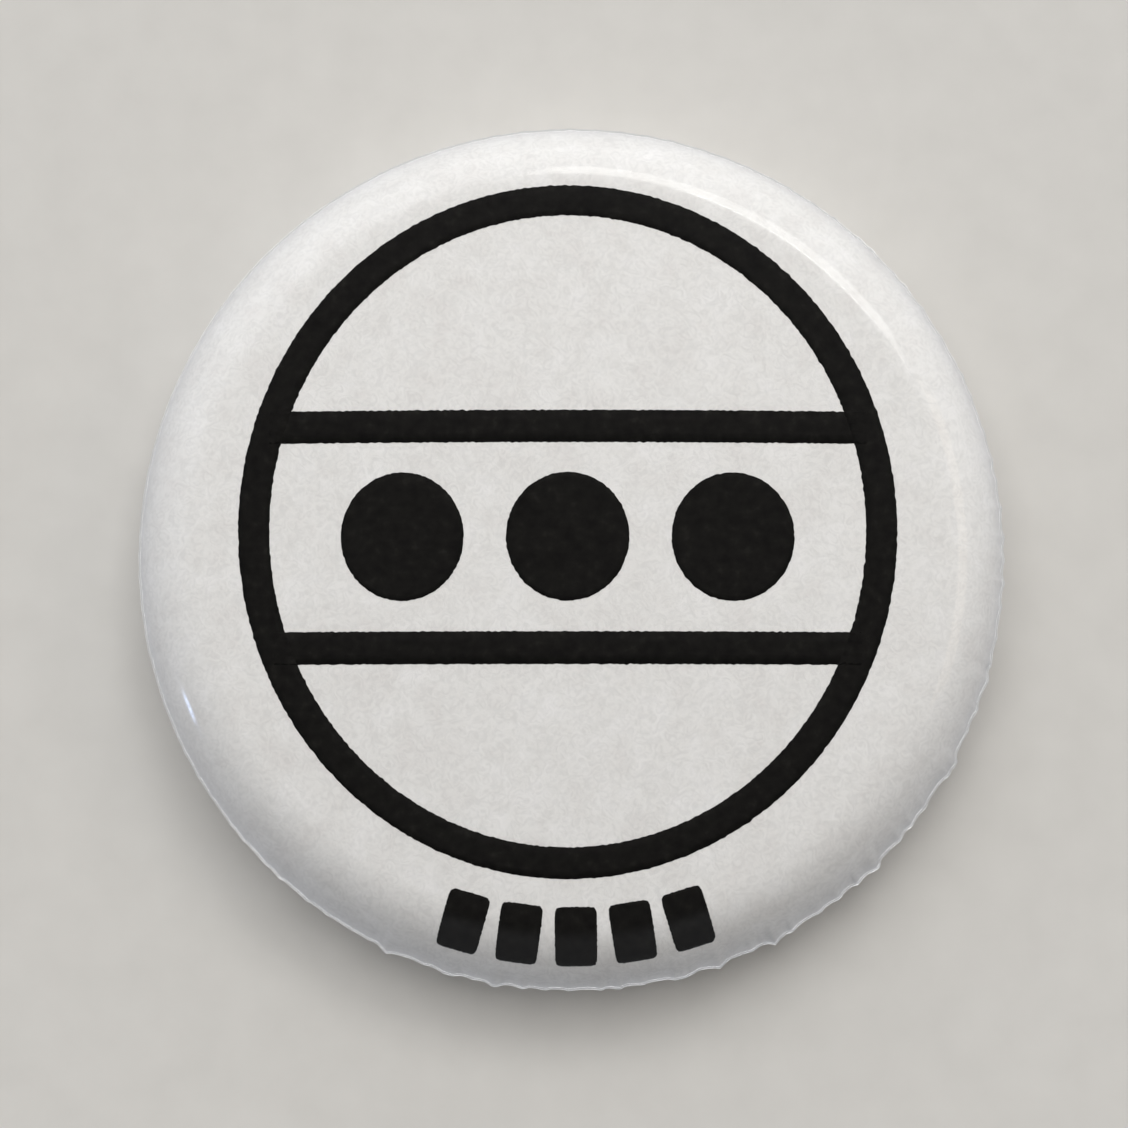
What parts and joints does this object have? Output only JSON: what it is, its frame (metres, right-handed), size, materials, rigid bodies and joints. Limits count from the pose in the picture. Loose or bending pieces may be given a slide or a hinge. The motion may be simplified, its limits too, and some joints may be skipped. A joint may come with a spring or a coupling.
{
  "type": "button badge",
  "caption": "Small round pin-back button badge: a domed face under clear film, crimped over a pressed back plate with a spring-wire pin.",
  "frame": {"origin": "centre of the badge, on the surface that it lies on with its printed face up", "axes": "+Z out of the printed face; +Y to the top of the print; +X along the needle, from its spring to its point"},
  "size_m": [0.025, 0.025, 0.0042],
  "materials": {
    "clear_film": "clear glossy polyester film",
    "printed_paper": "smooth uncoated white paper",
    "black_ink": "black printing ink, soaked into the paper",
    "shell_tinplate": "rolled tinplate",
    "plate_tinplate": "rolled and stamped tinplate",
    "spring_wire": "drawn spring steel, nickel plated"
  },
  "bodies": {
    "badge": {"film_cover": "clear_film", "print_disc": "printed_paper", "front_shell": "shell_tinplate", "back_plate": "plate_tinplate", "pin_hoop": "spring_wire"},
    "needle": {"pin_needle": "spring_wire"}
  },
  "joints": [
    {"name": "pin_open", "type": "hinge", "parent": "badge", "child": "needle", "pos_m": [-0.00682, 0.003, 0.00159], "axis": [0, 0.766, -0.6428], "range_deg": [0, 40], "stiffness_Nm_per_rad": 0.08}
  ]
}
